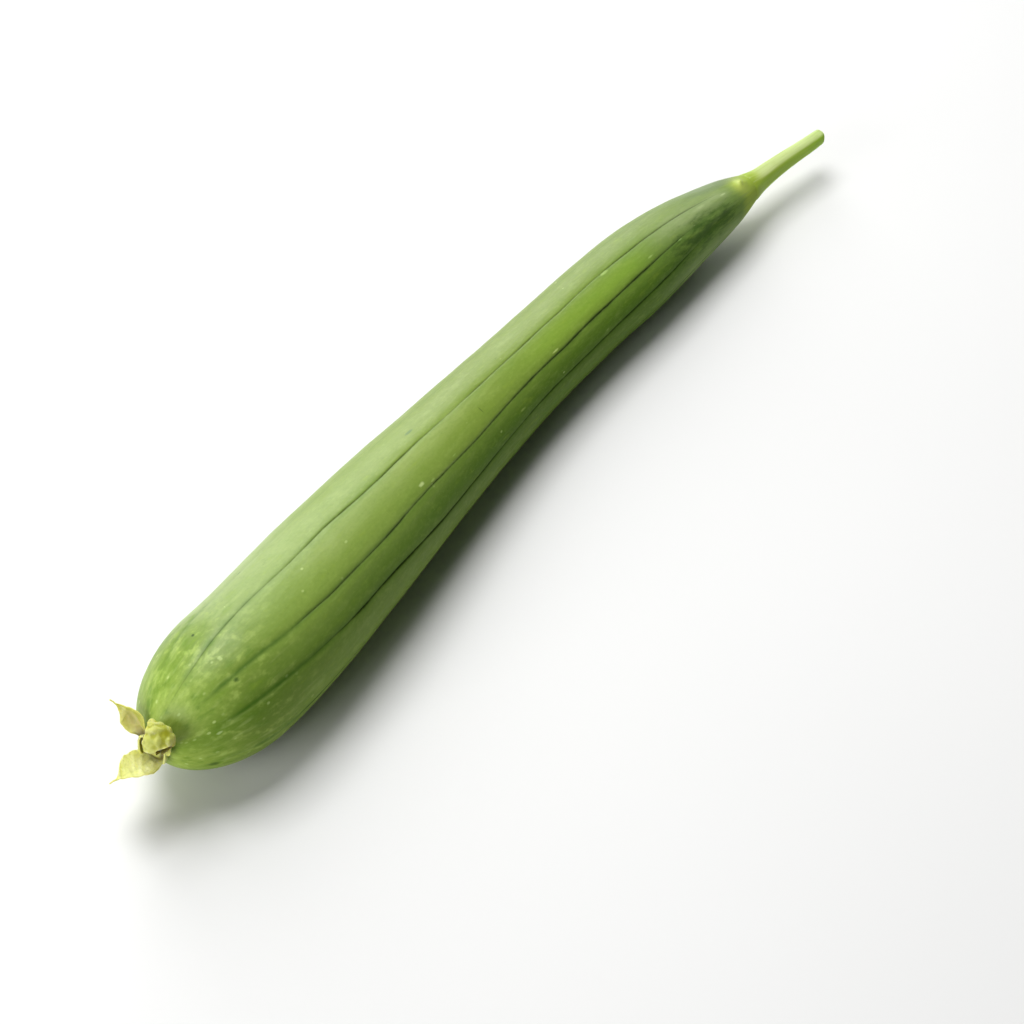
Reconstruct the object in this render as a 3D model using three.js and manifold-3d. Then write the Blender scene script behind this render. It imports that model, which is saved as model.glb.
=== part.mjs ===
// A ridge gourd lying on its side: one long ribbed fruit, its cut stem and the dried calyx
// that stays on the blossom end. Millimetres, +Z up, blossom end toward -X, stem toward +X.
import * as THREE from 'three';
import Module from 'manifold-3d';

const { clamp, degToRad, lerp, smootherstep } = THREE.MathUtils;
const wasm = await Module();
wasm.setup();

// Fruit: a blunt blossom end, a belly that tapers to a neck, and a shoulder that falls to the
// stem and is nipped in just before it.
const FRUIT_LENGTH = 340;
const BELLY_RADIUS = 25;
const NECK_RADIUS = 16.5;
const DOME_LENGTH = 40.5;
const TAPER_START = 24.8;
const TAPER_END = 265;
const SHOULDER_START = 270.4;
const SHOULDER_POWER = 1.68;
const SHOULDER_END_RADIUS = 6.7;
const NIP_START = 326;
const NIP_SHARE = 0.16;
const CALYX_SEAT_RADIUS = 5.3;
const DIMPLE_DEPTH = 1.3;
const DIMPLE_RADIUS = 7;

// A pale knob on the shoulder, close to the stem.
const KNOB_PLACE = 334.5;
const KNOB_ANGLE = -10;
const KNOB_HEIGHT = 1;
const KNOB_SPREAD = 1.9;

// Middle line of the fruit, one point every STATION mm. It bows sideways as the fruit lies.
const STATION = 50;
const SPINE_SIDE = [0, -0.2, 5, 10.8, 15.2, 16.9, 15.6, 8.9];
const SPINE_HEIGHT = [24, 24.3, 22.9, 19.8, 16.9, 15.9, 15.3, 15.9];

// Ten thin furrows run from end to end, with flat ribs between them. Each row is the angle of
// one furrow at every station, in degrees from straight up toward +Y.
const FURROWS = [
  [-4, 5, 0, -4, -5, -4, -8, -15],
  [-30, -33, -40, -42, -40, -41, -37, -29],
  [-56, -60, -70, -75, -69, -72, -62, -54],
  [-98, -104, -108, -110, -106, -108, -100, -92],
  [-140, -144, -146, -143, -142, -145, -140, -134],
  [-178, -180, -183, -181, -179, -182, -178, -172],
  [-216, -219, -216, -214, -218, -217, -215, -210],
  [-250, -254, -252, -250, -253, -252, -250, -246],
  [-292, -287, -288, -291, -286, -288, -289, -288],
  [-336, -321, -324, -326, -322, -325, -326, -330],
];
const FURROW_DEPTH = 0.4;
const FURROW_HALF_WIDTH = 0.9;
const FURROW_FADE_IN = [6, 40];
const FURROW_FADE_OUT = [318, 336];
const FACETING_AT_BLOSSOM = 0.15;
const FACETING_AT_NECK = 0.5;
const FACETING_RANGE = [40, 160];

// Stem: wide and round where it joins the fruit, then five-sided, cut off a little askew.
const STEM_PATH = [
  [340.3, 10.3, 15.8], [346, 9.7, 15.85], [352, 9.15, 15.95], [359, 8.35, 16.05],
  [366, 7.3, 16.15], [373, 6.25, 16.25], [380, 5.35, 16.35],
];
const STEM_RADII = [5.5, 4.75, 4.25, 3.85, 3.55, 3.35, 3.05];
const STEM_CORNERS = 5;
const STEM_CORNER_ANGLE = -38;
const STEM_FACETING = 0.55;
const STEM_FACETING_RANGE = [-0.02, 0.2];
const STEM_CUT_SKEW = 0.3;

// Calyx: a short cup in the dimple of the blossom end that opens into five dried sepals.
// Profile: [distance ahead of the dimple, radius], up the outside, down the inside and over
// the low mound in the middle, where the flower stood.
const CUP_PROFILE = [
  [-0.04, 4.9], [0.5, 5.7], [1.3, 6], [2, 6.1], [2.1, 5.6],
  [1.5, 5], [1.2, 4.4], [1.5, 3.2], [1.7, 1.8],
];
const CUP_RIM_FROM = 0.9;
const CUP_RIM_TO = 2.1;
const CUP_RIM_WAVE = 0.5;
const CUP_MOUTH_RADIUS = 5.1;
const SEPAL_THICKNESS = 0.9;
const SEPAL_ROOT_AHEAD = 0.8;
const SEPAL_ROOT_RADIUS = 5.35;
const SEPAL_TIP = 0.4;
// azimuth: side of the cup, as the furrow angles. drift: how far the tip swings round.
// open: angle from straight forward, evenly spaced from root to tip. roll: turn of the blade
// about its midrib. hollow: height of the raised edges. tip: half width of a blunt tip that is
// tucked in.
const SEPALS = [
  { azimuth: 44, drift: 4, length: 16.6, width: 9.4, open: [100, 88, 72, 68], roll: -30, hollow: 1.4 },
  { azimuth: 92, drift: 0, length: 5.8, width: 8, open: [-6, -45, -70], roll: 0, hollow: 0.8 },
  { azimuth: 171, drift: 3, length: 22.2, width: 11.8, open: [4, -24, -32, -16], roll: -6, hollow: 2.2 },
  { azimuth: 309, drift: 6, length: 5.4, width: 5.6, open: [80, 105, 120], roll: 0, hollow: 0.6 },
  {
    azimuth: 337, drift: 0, length: 36.5, width: 11.6, roll: -5, hollow: 2.7, tip: 3,
    open: [100, 106, 54, -38, -96, -118, -160],
  },
];

const FRUIT_COLOUR = 0x7a9b42;
const STEM_COLOUR = 0xa9c765;
const CALYX_COLOUR = 0xcdd07a;

/** Smooth curve through values that stand one STATION apart. */
function throughStations(first, second = first) {
  const points = first.map((value, i) => new THREE.Vector3(i * STATION, value, second[i]));
  return new THREE.CatmullRomCurve3(points, false, 'catmullrom');
}

const spine = throughStations(SPINE_SIDE, SPINE_HEIGHT);
const furrows = FURROWS.map((angles) => throughStations(angles));
const spineLength = (SPINE_SIDE.length - 1) * STATION;

/** Point and axes across a curve, with `up` kept as near +Z as the curve allows. */
function frameOn(curve, t) {
  const along = curve.getTangent(t);
  const side = new THREE.Vector3(0, 0, 1).cross(along).normalize();
  const up = along.clone().cross(side);
  return { point: curve.getPoint(t), along, side, up };
}

/** Point at a radius and an angle (radians from up toward side) around a frame. */
function around(frame, radius, angle) {
  return frame.point.clone()
    .addScaledVector(frame.up, radius * Math.cos(angle))
    .addScaledVector(frame.side, radius * Math.sin(angle));
}

/** Radius of the fruit, over the tops of the ribs, u mm from the blossom end. */
function fruitRadius(u) {
  const body = lerp(BELLY_RADIUS, NECK_RADIUS, smootherstep(u, TAPER_START, TAPER_END));
  const dome = u < DOME_LENGTH ? Math.sqrt(1 - (1 - u / DOME_LENGTH) ** 2) : 1;
  const fall = clamp((u - SHOULDER_START) / (FRUIT_LENGTH - SHOULDER_START), 0, 1);
  const shoulder = 1 - (1 - SHOULDER_END_RADIUS / NECK_RADIUS) * fall ** SHOULDER_POWER;
  const nip = clamp((u - NIP_START) / (FRUIT_LENGTH - NIP_START), 0, 1);
  return body * dome * shoulder * (1 - NIP_SHARE * nip * nip);
}

/** Value at t (0..1) on straight lines through evenly spaced values. */
function between(values, t) {
  const at = t * (values.length - 1);
  const i = Math.min(Math.floor(at), values.length - 2);
  return lerp(values[i], values[i + 1], at - i);
}

/** Share of the corner radius left at `across` (-1..1) on a flat side of half-angle `half`. */
function flatSide(across, half, faceting) {
  return 1 - faceting + faceting * Math.cos(half) / Math.cos(half * across);
}

/** Closed skin over rings of points, each ring wound the same way, with flat ends. */
function skinOverRings(rings) {
  const columns = rings[0].length;
  const points = rings.flat();
  const faces = [];
  for (let r = 0; r < rings.length - 1; r++) {
    for (let c = 0; c < columns; c++) {
      const a = r * columns + c;
      const b = r * columns + (c + 1) % columns;
      faces.push(a, b, b + columns, a, b + columns, a + columns);
    }
  }
  const centreOf = (ring) => ring
    .reduce((sum, p) => sum.add(p), new THREE.Vector3())
    .divideScalar(columns);
  const last = (rings.length - 1) * columns;
  const firstCentre = points.push(centreOf(rings[0])) - 1;
  const lastCentre = points.push(centreOf(rings.at(-1))) - 1;
  for (let c = 0; c < columns; c++) {
    const next = (c + 1) % columns;
    faces.push(firstCentre, next, c, lastCentre, last + c, last + next);
  }
  return new THREE.BufferGeometry().setFromPoints(points).setIndex(faces);
}

/** Distances along the fruit for its rings: close together where the ends turn over. */
function fruitStations() {
  const DOME_RINGS = 14;
  const BODY_RINGS = 34;
  const SHOULDER_RINGS = 16;
  const SHOULDER_TURN = 300;
  const seatTurn = Math.asin(CALYX_SEAT_RADIUS / BELLY_RADIUS);
  const stations = [];
  for (let i = 0; i < DOME_RINGS; i++) {
    const turn = lerp(seatTurn, Math.PI / 2, i / DOME_RINGS);
    stations.push(DOME_LENGTH * (1 - Math.cos(turn)));
  }
  for (let i = 0; i < BODY_RINGS; i++) {
    stations.push(lerp(DOME_LENGTH, SHOULDER_TURN, i / BODY_RINGS));
  }
  for (let i = 0; i <= SHOULDER_RINGS; i++) {
    stations.push(lerp(SHOULDER_TURN, FRUIT_LENGTH, i / SHOULDER_RINGS));
  }
  return stations;
}

/** Height of the knob at u and an angle, on a body of that radius. */
function knobHeight(u, radius, angle) {
  const turn = angle - degToRad(KNOB_ANGLE);
  const off = radius * Math.atan2(Math.sin(turn), Math.cos(turn));
  return KNOB_HEIGHT * Math.exp(-(((u - KNOB_PLACE) ** 2 + off ** 2) / KNOB_SPREAD ** 2));
}

/** The fruit: ribbed rings along the spine, pressed flat where they touch the surface. */
function makeFruit() {
  const RIB_COLUMNS = [0.22, 0.5, 0.78];
  const rings = fruitStations().map((u) => {
    const radius = fruitRadius(u);
    const near = u < DOME_LENGTH ? Math.exp(-((radius / DIMPLE_RADIUS) ** 2)) : 0;
    const frame = frameOn(spine, (u + DIMPLE_DEPTH * near) / spineLength);
    const depth = FURROW_DEPTH
      * smootherstep(u, ...FURROW_FADE_IN)
      * (1 - smootherstep(u, ...FURROW_FADE_OUT));
    const faceting = lerp(
      FACETING_AT_BLOSSOM,
      FACETING_AT_NECK,
      smootherstep(u, ...FACETING_RANGE),
    );
    const angles = furrows.map((furrow) => degToRad(furrow.getPoint(u / spineLength).y));
    const ring = [];
    angles.forEach((from, i) => {
      const to = i + 1 < angles.length ? angles[i + 1] : angles[0] - 2 * Math.PI;
      const lip = FURROW_HALF_WIDTH / radius / Math.abs(to - from);
      ring.push(around(frame, radius - depth + knobHeight(u, radius, from), from));
      for (const share of [lip, ...RIB_COLUMNS, 1 - lip]) {
        const side = flatSide(2 * share - 1, Math.abs(to - from) / 2, faceting);
        const angle = lerp(from, to, share);
        ring.push(around(frame, radius * side + knobHeight(u, radius, angle), angle));
      }
    });
    ring.forEach((p) => p.setZ(Math.max(p.z, 0)));
    return ring;
  });
  return skinOverRings(rings);
}

/** The stem: five-sided rings along its path and a rounded cut end. */
function makeStem() {
  const RINGS = 18;
  const COLUMNS = 25;
  const CUT_ROUNDING = [[0.965, 0.98], [0.99, 0.9], [1, 0.7]];
  const path = new THREE.CatmullRomCurve3(STEM_PATH.map((p) => new THREE.Vector3(...p)));
  const radii = new THREE.CatmullRomCurve3(STEM_RADII.map((r) => new THREE.Vector3(r, 0, 0)));
  const ringAt = (t, scale) => {
    const frame = frameOn(path, t);
    const radius = radii.getPoint(t).x * scale;
    const faceting = STEM_FACETING * smootherstep(t, ...STEM_FACETING_RANGE);
    return Array.from({ length: COLUMNS }, (_, i) => {
      const angle = degToRad(STEM_CORNER_ANGLE) - 2 * Math.PI * i / COLUMNS;
      const sidePosition = (i * STEM_CORNERS / COLUMNS) % 1;
      const side = flatSide(2 * sidePosition - 1, Math.PI / STEM_CORNERS, faceting);
      const point = around(frame, radius * side, angle);
      const askew = STEM_CUT_SKEW * t ** 6 * radius * side * Math.cos(angle);
      return point.addScaledVector(frame.along, askew);
    });
  };
  const rings = Array.from({ length: RINGS }, (_, i) => ringAt(0.965 * i / RINGS, 1));
  CUT_ROUNDING.forEach(([t, scale]) => rings.push(ringAt(t, scale)));
  return skinOverRings(rings);
}

const blossom = frameOn(spine, DIMPLE_DEPTH / spineLength);
const forward = blossom.along.clone().negate();

/** Point `ahead` of the dimple's floor at a radius and azimuth around its axis. */
function onCup(ahead, radius, azimuth) {
  return around(blossom, radius, azimuth).addScaledVector(forward, ahead);
}

/** The cup: rings of one wall, outside up to a wavy rim and down again inside. */
function makeCup() {
  const COLUMNS = 40;
  const firstLobe = degToRad(SEPALS[0].azimuth);
  return skinOverRings(CUP_PROFILE.map(([ahead, radius]) => (
    Array.from({ length: COLUMNS }, (_, i) => {
      const azimuth = 2 * Math.PI * i / COLUMNS;
      const lobed = Math.cos(SEPALS.length * (azimuth - firstLobe));
      const height = clamp((ahead - CUP_RIM_FROM) / (CUP_RIM_TO - CUP_RIM_FROM), 0, 1);
      const wave = radius > CUP_MOUTH_RADIUS ? CUP_RIM_WAVE * lobed * height : 0;
      return onCup(ahead + wave, radius, azimuth);
    })
  )));
}

/** One sepal: a hollowed blade, widest a third of the way up, drawn out to a point. */
function makeSepal({ azimuth, drift, length, width, open, roll, hollow, tip = SEPAL_TIP }) {
  const ROWS = 18;
  const COLUMNS = 6;
  const faces = [];
  const inner = [];
  const outer = [];
  let middle = onCup(SEPAL_ROOT_AHEAD, SEPAL_ROOT_RADIUS, degToRad(azimuth));
  for (let row = 0; row <= ROWS; row++) {
    const t = row / ROWS;
    const opening = degToRad(between(open, t));
    const swing = degToRad(azimuth + drift * t);
    const turn = degToRad(roll) * Math.min(1, 2 * t);
    const outward = around(blossom, 1, swing).sub(blossom.point);
    const along = forward.clone().multiplyScalar(Math.cos(opening))
      .addScaledVector(outward, Math.sin(opening));
    const across = around(blossom, 1, swing - Math.PI / 2).sub(blossom.point)
      .applyAxisAngle(along, -turn);
    const face = forward.clone().multiplyScalar(Math.sin(opening))
      .addScaledVector(outward, -Math.cos(opening))
      .applyAxisAngle(along, -turn);
    const taper = Math.sin(Math.PI * (0.25 + 0.75 * t)) ** (0.9 + 2.1 * t);
    const halfWidth = Math.max(taper * width / 2, tip);
    for (let column = 0; column <= COLUMNS; column++) {
      const s = 2 * column / COLUMNS - 1;
      const raised = hollow * s * s * halfWidth / (width / 2);
      const point = middle.clone()
        .addScaledVector(across, s * halfWidth)
        .addScaledVector(face, raised);
      inner.push(point.clone().addScaledVector(face, SEPAL_THICKNESS / 2));
      outer.push(point.clone().addScaledVector(face, -SEPAL_THICKNESS / 2));
    }
    middle = middle.addScaledVector(along, length / ROWS);
  }
  const stride = COLUMNS + 1;
  const back = inner.length;
  const wall = (a, b) => faces.push(a, b, back + b, a, back + b, back + a);
  for (let row = 0; row < ROWS; row++) {
    const a = row * stride;
    for (let c = a; c < a + COLUMNS; c++) {
      faces.push(c, c + 1, c + stride + 1, c, c + stride + 1, c + stride);
      faces.push(back + c, back + c + stride + 1, back + c + 1);
      faces.push(back + c, back + c + stride, back + c + stride + 1);
    }
    wall(a, a + stride);
    wall(a + stride + COLUMNS, a + COLUMNS);
  }
  for (let c = 0; c < COLUMNS; c++) {
    wall(c + 1, c);
    wall(ROWS * stride + c, ROWS * stride + c + 1);
  }
  return new THREE.BufferGeometry().setFromPoints([...inner, ...outer]).setIndex(faces);
}

/** A geometry whose corners are shared, as a solid. */
function toSolid(geometry) {
  return new wasm.Manifold(new wasm.Mesh({
    numProp: 3,
    vertProperties: geometry.getAttribute('position').array,
    triVerts: Uint32Array.from(geometry.index.array),
  }));
}

/** A solid as a geometry. */
function toGeometry(solid) {
  const mesh = solid.getMesh();
  const geometry = new THREE.BufferGeometry();
  geometry.setAttribute('position', new THREE.BufferAttribute(mesh.vertProperties, 3));
  geometry.setIndex(new THREE.BufferAttribute(mesh.triVerts, 1));
  return geometry;
}

/** The calyx: cup and sepals grown together. */
function makeCalyx() {
  const grown = SEPALS.reduce(
    (solid, sepal) => solid.add(toSolid(makeSepal(sepal))),
    toSolid(makeCup()),
  );
  return toGeometry(grown);
}

const group = new THREE.Group();
group.name = 'ridge_gourd';

/** Adds one named piece, with flat-shaded normals and its own material. */
function addPiece(name, geometry, colour, roughness) {
  const shaded = geometry.toNonIndexed();
  shaded.computeVertexNormals();
  const material = new THREE.MeshStandardMaterial({ color: colour, roughness, metalness: 0 });
  const mesh = new THREE.Mesh(shaded, material);
  mesh.name = name;
  group.add(mesh);
}

addPiece('fruit', makeFruit(), FRUIT_COLOUR, 0.45);
addPiece('stem', makeStem(), STEM_COLOUR, 0.5);
addPiece('calyx', makeCalyx(), CALYX_COLOUR, 0.7);

// The origin is under the middle of the whole gourd, on the surface it lies on.
const box = new THREE.Box3().setFromObject(group);
const middle = box.getCenter(new THREE.Vector3());
group.position.set(-middle.x, -middle.y, -box.min.z);

export default group;
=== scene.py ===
"""A ridge gourd lying on a pale table top: ribbed green fruit, cut stem and dried calyx."""

import bpy
import numpy as np
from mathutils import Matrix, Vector


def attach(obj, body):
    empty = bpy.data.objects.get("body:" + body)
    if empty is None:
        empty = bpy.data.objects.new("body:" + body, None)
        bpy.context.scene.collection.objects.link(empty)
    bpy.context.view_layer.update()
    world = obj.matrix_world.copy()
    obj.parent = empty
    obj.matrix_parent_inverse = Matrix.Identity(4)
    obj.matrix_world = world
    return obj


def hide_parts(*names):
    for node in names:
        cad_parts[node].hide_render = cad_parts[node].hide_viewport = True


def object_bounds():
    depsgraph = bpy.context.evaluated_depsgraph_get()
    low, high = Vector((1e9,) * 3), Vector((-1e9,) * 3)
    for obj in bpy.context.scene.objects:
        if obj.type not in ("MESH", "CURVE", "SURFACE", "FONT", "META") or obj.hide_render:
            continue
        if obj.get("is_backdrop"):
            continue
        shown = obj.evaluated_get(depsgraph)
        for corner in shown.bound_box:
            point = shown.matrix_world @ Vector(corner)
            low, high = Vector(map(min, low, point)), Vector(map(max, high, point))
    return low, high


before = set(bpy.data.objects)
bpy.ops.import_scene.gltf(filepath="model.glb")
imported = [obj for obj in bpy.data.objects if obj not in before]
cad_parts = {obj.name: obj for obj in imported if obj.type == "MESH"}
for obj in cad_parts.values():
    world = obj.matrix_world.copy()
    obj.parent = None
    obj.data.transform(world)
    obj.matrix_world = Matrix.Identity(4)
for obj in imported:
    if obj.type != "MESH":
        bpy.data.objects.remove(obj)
cad_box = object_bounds()

# The fruit: one long green gourd, grown as one piece, with ten thin furrows between flat
# ribs. It thickens toward the blossom end, bows a little sideways and lies on its belly,
# which is pressed flat by its own weight. Its skin is thin, tight and waxy.
MM = 0.001
# Lengths are in mm from the blossom end, which lies over this place of the table top.
PLACE_MM = np.array([-180.2599, -3.8854, 0.0])
FRUIT_LENGTH = 340.0
BELLY_RADIUS = 25.0
NECK_RADIUS = 16.5
DOME_LENGTH = 40.5
TAPER = (24.8, 265.0)
SHOULDER_START = 270.4
SHOULDER_POWER = 1.68
SHOULDER_END_RADIUS = 6.7
NIP_START = 326.0
NIP_SHARE = 0.16
CALYX_SEAT_RADIUS = 5.3
DIMPLE_DEPTH = 1.3
DIMPLE_RADIUS = 7.0
KNOB_PLACE = 334.5
KNOB_ANGLE = -10
KNOB_HEIGHT = 1.0
KNOB_SPREAD = 1.9
STATION = 50.0
SPINE = np.array(
    [
        [0, 0, 24],
        [50, -0.2, 24.3],
        [100, 5, 22.9],
        [150, 10.8, 19.8],
        [200, 15.2, 16.9],
        [250, 16.9, 15.9],
        [300, 15.6, 15.3],
        [350, 8.9, 15.9],
    ],
    float,
)
# Furrows: the angle of each at every station in degrees, measured from the top toward the
# back. Then how dark the painted shade in the soft valley of each is.
FURROWS = np.array(
    [
        [-4, 5, 0, -4, -5, -4, -8, -15],
        [-30, -33, -40, -42, -40, -41, -37, -29],
        [-56, -60, -70, -75, -69, -72, -62, -54],
        [-98, -104, -108, -110, -106, -108, -100, -92],
        [-140, -144, -146, -143, -142, -145, -140, -134],
        [-178, -180, -183, -181, -179, -182, -178, -172],
        [-216, -219, -216, -214, -218, -217, -215, -210],
        [-250, -254, -252, -250, -253, -252, -250, -246],
        [-292, -287, -288, -291, -286, -288, -289, -288],
        [-336, -321, -324, -326, -322, -325, -326, -330],
    ],
    float,
)
PAINTED_VALLEY_SHADE = np.array([0.5, 0.85, 0.9, 0.6, 0.7, 0.6, 0.8, 0.6, 0.7, 0.35])
# Each furrow has a thin dark crease in its middle. The first three are on top. Every 10 mm
# from the blossom end: how many degrees they stray to the side, and how dark they are.
STRAY_STEP = 10.0
TOP_CREASE_STRAY = np.array(
    [
        [-1.7, -1.7, -1.4, -0.4, -0.1, 0.3, -0.3, -0.7, -0.2, 0.8, 0.2, -0.7, -0.5, 0.0, 0.8, 0.6]
        + [-0.1, -0.1, -0.1, -0.1, -0.3, -0.5, -0.9, -1.7, -1.0, -0.4, -0.9, -1.5, -1.4, -0.6]
        + [-0.4, 0.2, 1.1, 1.1, 1.1],
        [1.5, 1.5, 1.3, 1.4, 0.8, -1.1, -1.8, -2.6, -2.0, -1.9, -1.7, -1.2, -0.2, 0.2, -0.7, -1.6]
        + [-2.3, -2.5, -2.4, -2.0, -1.9, -2.4, -2.7, -1.4, -0.8, -0.4, -0.1, 0.0, 0.4, 0.2]
        + [0.3, 0.5, 0.2, 0.2, 0.2],
        [-0.4, -0.4, 0.1, 0.7, -0.1, -1.1, -1.6, -2.2, -1.7, 0.0, 0.7, 0.5, -0.4, -1.1, -0.5, -0.2]
        + [-0.5, -1.3, -2.1, -2.4, -2.9, -2.9, -2.6, -2.2, -0.8, 0.2, 0.3, 0.0, -1.1, -1.4]
        + [-0.6, 0.4, 1.6, 1.6, 1.6],
    ]
)
TOP_CREASE_DARKNESS = np.array(
    [
        [0.0, 0.1, 0.4, 0.4, 0.55, 0.35, 0.45, 0.5, 0.6, 0.65, 0.75, 0.7, 0.75, 0.75, 0.7, 0.5]
        + [0.3, 0.4, 0.6, 0.5, 0.5, 0.7, 0.5, 0.6, 0.5, 0.5, 0.6, 0.75, 0.7, 0.65]
        + [0.6, 0.45, 0.1, 0.0, 0.0],
        [0.0, 0.0, 0.0, 0.05, 0.05, 0.1, 0.6, 0.7, 0.75, 0.7, 0.85, 0.85, 0.7, 0.7, 0.85, 0.65]
        + [0.8, 0.75, 0.8, 0.8, 0.9, 0.9, 0.9, 1.0, 1.0, 1.0, 1.0, 0.95, 0.8, 0.6]
        + [0.25, 0.0, 0.0, 0.0, 0.0],
        [0.0, 0.0, 0.0, 0.0, 0.0, 0.1, 0.4, 0.75, 1.0, 1.0, 1.0, 1.0, 1.0, 0.95, 0.8, 0.8]
        + [0.75, 0.7, 0.65, 0.6, 0.75, 0.8, 0.75, 0.7, 0.7, 0.9, 0.85, 0.8, 0.85, 0.6]
        + [0.2, 0.0, 0.0, 0.0, 0.0],
    ]
)
# The other creases: where each begins and fades in mm, and how dark it is.
CREASE_FROM = np.array([38, 28, 44, 24, 50, 32, 12])
CREASE_TO = np.array([296, 290, 300, 285, 296, 280, 300])
CREASE_RISE = 8
CREASE_FADE = 28
CREASE_DARKNESS = np.array([0.75, 0.85, 0.8, 0.9, 0.75, 0.85, 0.0])
# Spacing in mm, height and first seed: kinks and wander of the creases in mm, and their
# long and short faint stretches.
KINKS = (7, 0.08, 60)
WANDER = (26, 0.4, 40)
WANDER_IN = (12, 50)
LONG_FAINT = (18, 0.3, 80)
SHORT_FAINT = (6, 0.16, 90)
TOP_CREASE_SHARE = 0.95
CREASE_SHARE = 0.86
# The dark line in a crease is thin where it is faint and widens where it is dark.
LINE_WIDTH = 0.16
LINE_WIDENING = 0.36
CREASE_DEPTH = 0.26
CREASE_WIDTH = 0.34
VALLEY_DEPTH = 0.24
VALLEY_WIDTH = 1.7
# Painted shade along the valleys: where it comes in and goes out, where it grows fainter,
# and how wide it is and becomes.
SHADE_IN = (8, 26)
SHADE_OUT = (306, 332)
SHADE_FAINTER = (40, 75)
SHADE_FAINTER_ABOVE = (90, 130)
SHADE_WIDTH = 0.9
SHADE_WIDENING = 0.7
SHADE_WIDER = (40, 90)
FURROW_FADE_IN = (6, 30)
FURROW_FADE_OUT = (318, 336)
# Low lip above each crease: its height, then how far off the crease it is and how wide.
LIP_HEIGHT = 0.05
LIP_PLACE = (1.1, 0.5)
# Mesh: points from furrow to furrow, rings along the fruit, and how the points crowd toward
# the furrows. Then how flat a rib is, which grows along the fruit.
RIB_COLUMNS = 30
DOME_RINGS = 56
BODY_RINGS = 190
FINE_RINGS = 64
FINE_RINGS_FROM = 300
LAST_STEP = 0.05
CROWDING = 0.7
FLATNESS = 0.1
FLATNESS_GAIN = 0.15
FLATNESS_RANGE = (40, 160)
# Waves as ripple() takes them: height, count, lengths in mm, turns and seed.
SWELLS = [(0.18, 9, (25, 70), 4, 5), (0.07, 14, (7, 18), 12, 6)]
SWELL_IN = (2, 25)
SWELL_OUT = (325, 339)
KNOB_LUMPS = (0.6, 7, (2.5, 5), 20, 8)
# Patches where the skin's colour changes: the middle and width in degrees of those that fade
# to both sides, and the mm along over which each comes in and goes out. The lower side and
# flank are painted shade, the bloom and the band beside the top crease painted sheen. The
# upper border of that band wavers by a ripple.
LOWER_MIDDLE = 25
BACK_MIDDLE = 45
FLANK_SIDE = (-59, 15)
FLANK_OUT = (265, 305)
PAINTED_SHEEN_SIDE = (45, 24)
PAINTED_SHEEN_IN = (18, 45)
PAINTED_SHEEN_OUT = (60, 115)
FRESH_SIDE = (-25, 12)
FRESH_IN = (185, 230)
FRESH_OUT = (260, 290)
SHEEN_BAND_BORDER = (4, 6, (20, 60), 1, 12)
SHEEN_BAND_SIDES = ((-29, -9), (-7, -2))
SHEEN_BAND_IN = (55, 95)
SHEEN_BAND_OUT = (150, 205)
SHOULDER_IN = (262, 306)
SHOULDER_OUT = (318, 334)
BLEACHED_SIDES = ((-14, 20), (-98, 16))
CLOUDED_SIDE = (-54, 26)
DUSKY_IN = (296, 326)
DUSKY_SIDES = ((-6, 12), (90, 130))
COLLAR_IN = (323, 337)
COLLAR_LEAN = 3
COLLAR_MIDDLE = 60
KNOB_COLOUR_OFF = (-1.6, -0.8)
KNOB_COLOUR_SPREAD = 3.6


def smoother(x, start, end):
    """Share of the way from start to end, level at both: 6t^5 - 15t^4 + 10t^3."""
    t = np.clip((x - start) / (end - start), 0, 1)
    return t * t * t * (t * (6 * t - 15) + 10)


def between(x, rise, fall):
    """1 from the end of a smooth rise to the start of a smooth fall, and 0 beyond them."""
    return smoother(x, *rise) * (1 - smoother(x, *fall))


def bell(x, middle, width):
    """Bell curve: e to the power of minus the square of (x - middle) / width."""
    return np.exp(-(((x - middle) / width) ** 2))


def cosine_from(turn, degrees):
    """Cosine of the angle between a turn in radians and a side in degrees."""
    return np.cos(turn - np.radians(degrees))


def through(rows, u):
    """Values and slopes at u of the curve through rows that stand one STATION apart.

    Between two rows it is the cubic whose slope at each row is half the step from the
    row before to the row after. Past the ends the rows go on in a straight line.
    """
    ends = np.vstack([2 * rows[:1] - rows[1:2], rows, 2 * rows[-1:] - rows[-2:-1]])
    i = np.clip((u // STATION).astype(int), 0, len(rows) - 2)
    t = (u / STATION - i)[:, None]
    before, here, there, after = ends[i], ends[i + 1], ends[i + 2], ends[i + 3]
    slope, next_slope = (there - before) / 2, (after - here) / 2
    cube = 2 * (here - there) + slope + next_slope
    square = 3 * (there - here) - 2 * slope - next_slope
    value = ((cube * t + square) * t + slope) * t + here
    return value, ((3 * cube * t + 2 * square) * t + slope) / STATION


def path_frame(path, u):
    """Point of a path at u, and the directions along, aside (level) and up from it."""
    point, along = through(path, u)
    along = along / np.linalg.norm(along, axis=1)[:, None]
    aside = np.cross([0, 0, 1], along)
    aside /= np.linalg.norm(aside, axis=1)[:, None]
    return point, along, aside, np.cross(along, aside)


def fruit_radius(u):
    """Belly radius eased into the neck radius, times a quarter ellipse at the blossom
    end, times one minus a power of the way along the shoulder, times the last nip."""
    body = BELLY_RADIUS + (NECK_RADIUS - BELLY_RADIUS) * smoother(u, *TAPER)
    dome = np.sqrt(1 - (1 - np.minimum(u / DOME_LENGTH, 1)) ** 2)
    fall = np.clip((u - SHOULDER_START) / (FRUIT_LENGTH - SHOULDER_START), 0, 1)
    nip = np.clip((u - NIP_START) / (FRUIT_LENGTH - NIP_START), 0, 1)
    shoulder = 1 - (1 - SHOULDER_END_RADIUS / NECK_RADIUS) * fall**SHOULDER_POWER
    return body * dome * shoulder * (1 - NIP_SHARE * nip * nip)


def flat_side(across, half, flatness):
    """Share of the corner radius on a flat side: cos(half) / cos(half * across), mixed
    with a round section by the flatness."""
    return 1 - flatness + flatness * np.cos(half) / np.cos(half * across)


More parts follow.
